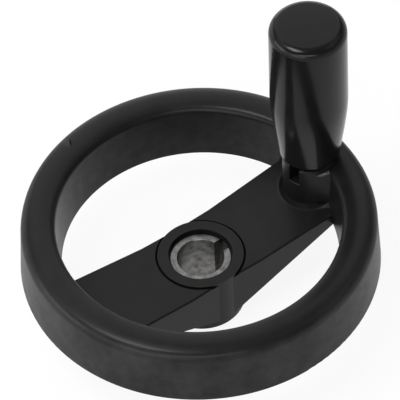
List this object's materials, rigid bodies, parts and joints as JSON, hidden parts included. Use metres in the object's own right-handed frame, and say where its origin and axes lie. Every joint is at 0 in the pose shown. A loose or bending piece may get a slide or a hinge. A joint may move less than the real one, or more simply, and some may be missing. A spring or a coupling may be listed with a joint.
{
  "type": "handwheel with fold-away revolving handle",
  "caption": "Dished handwheel with a rounded rim, flat arms, a keyed steel bush and a revolving handle that lifts on a sleeve and folds inwards over the hub.",
  "frame": {"origin": "on the shaft axis, in the plane of the rim's lower edge", "axes": "+Z along the shaft, out of the face that carries the handle; +X along the arm that carries the handle"},
  "size_m": [0.1249, 0.125, 0.1082],
  "materials": {
    "wheel": "satin black moulding",
    "bush": "turned face, plain steel",
    "steel": "turned steel",
    "spring_steel": "dark spring steel",
    "grip": "polished black moulding"
  },
  "bodies": {
    "wheel": {"wheel_body": "wheel", "hub_bush": "bush", "pivot_pin": "steel"},
    "spindle": {"handle_spindle": "steel", "spring_washer": "steel", "retaining_ring": "spring_steel", "lift_spring": "spring_steel"},
    "sleeve": {"lift_sleeve": "steel", "grip_clip": "spring_steel"},
    "grip": {"handle_grip": "grip"}
  },
  "joints": [
    {"name": "handle_fold", "type": "hinge", "parent": "wheel", "child": "spindle", "pos_m": [0.0479, 0, 0.0182], "axis": [0.2924, -0.9563, 0], "range_deg": [0, 90]},
    {"name": "handle_lift", "type": "slide", "parent": "spindle", "child": "sleeve", "axis": [0, 0, 1], "range_m": [0, 0.0087], "deforming": ["lift_spring"]},
    {"name": "grip_spin", "type": "hinge", "parent": "sleeve", "child": "grip", "pos_m": [0.0479, 0, 0.024], "axis": [0, 0, 1], "continuous": true}
  ],
  "couplings": [
    {"joint": "handle_lift", "follows": "handle_fold", "m_per_rad": 0.0055}
  ]
}
